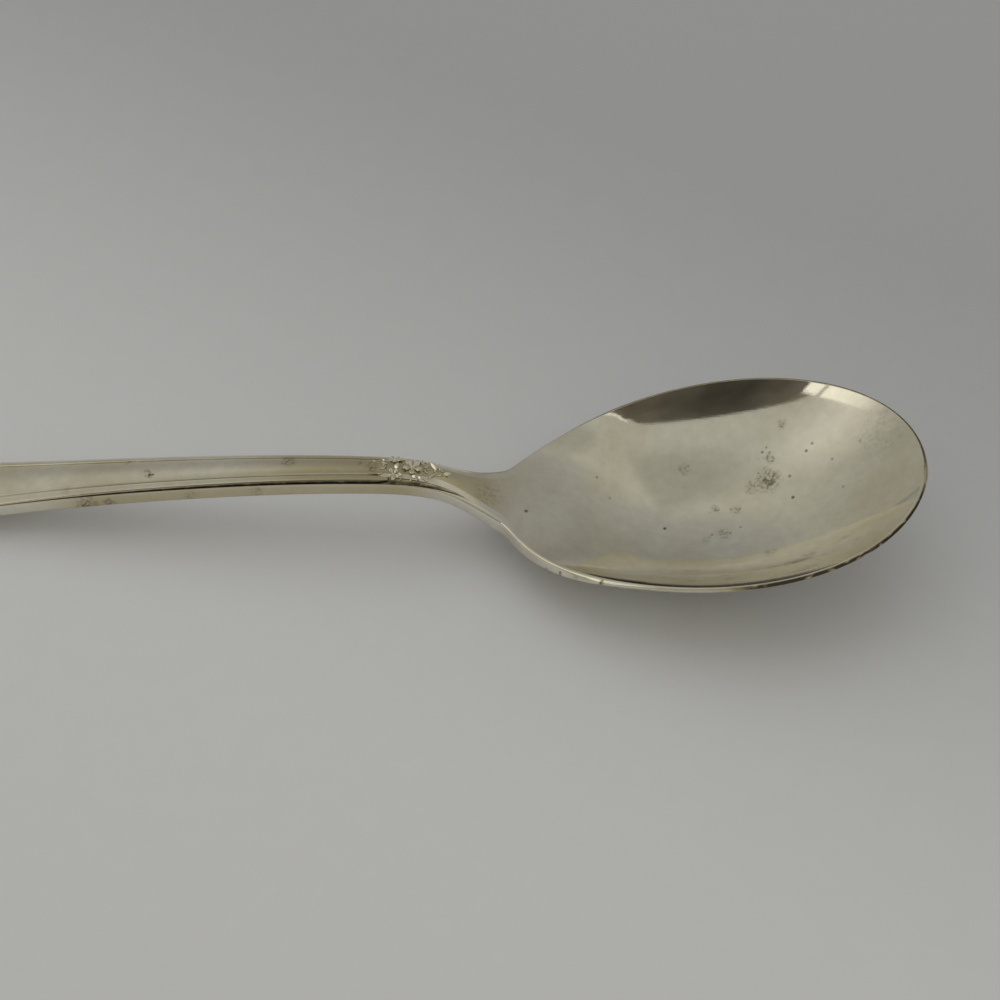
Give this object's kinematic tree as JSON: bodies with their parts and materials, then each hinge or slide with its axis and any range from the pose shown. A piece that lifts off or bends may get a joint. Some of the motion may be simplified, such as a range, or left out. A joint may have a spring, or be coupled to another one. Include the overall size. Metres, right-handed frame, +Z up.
{
  "type": "sugar spoon",
  "caption": "Silver-plated sugar spoon with a deep oval bowl, a narrow neck carrying a small flower spray, and a tapering handle edged with a thread border.",
  "frame": {"origin": "on the table under the middle of the spoon's box, where its bowl and handle end rest", "axes": "+X along the spoon towards the tip of the bowl, +Y across it, +Z up out of the bowl"},
  "size_m": [0.1506, 0.037, 0.0156],
  "materials": {
    "silver_plate": "worn silver plate, softly polished, with light tarnish",
    "tarnished_silver": "silver plate with dark tarnish left in the low places of the relief"
  },
  "bodies": {
    "root": {"bowl": "silver_plate", "handle": "silver_plate", "thread_border": "silver_plate", "flower_spray": "tarnished_silver"}
  },
  "joints": []
}
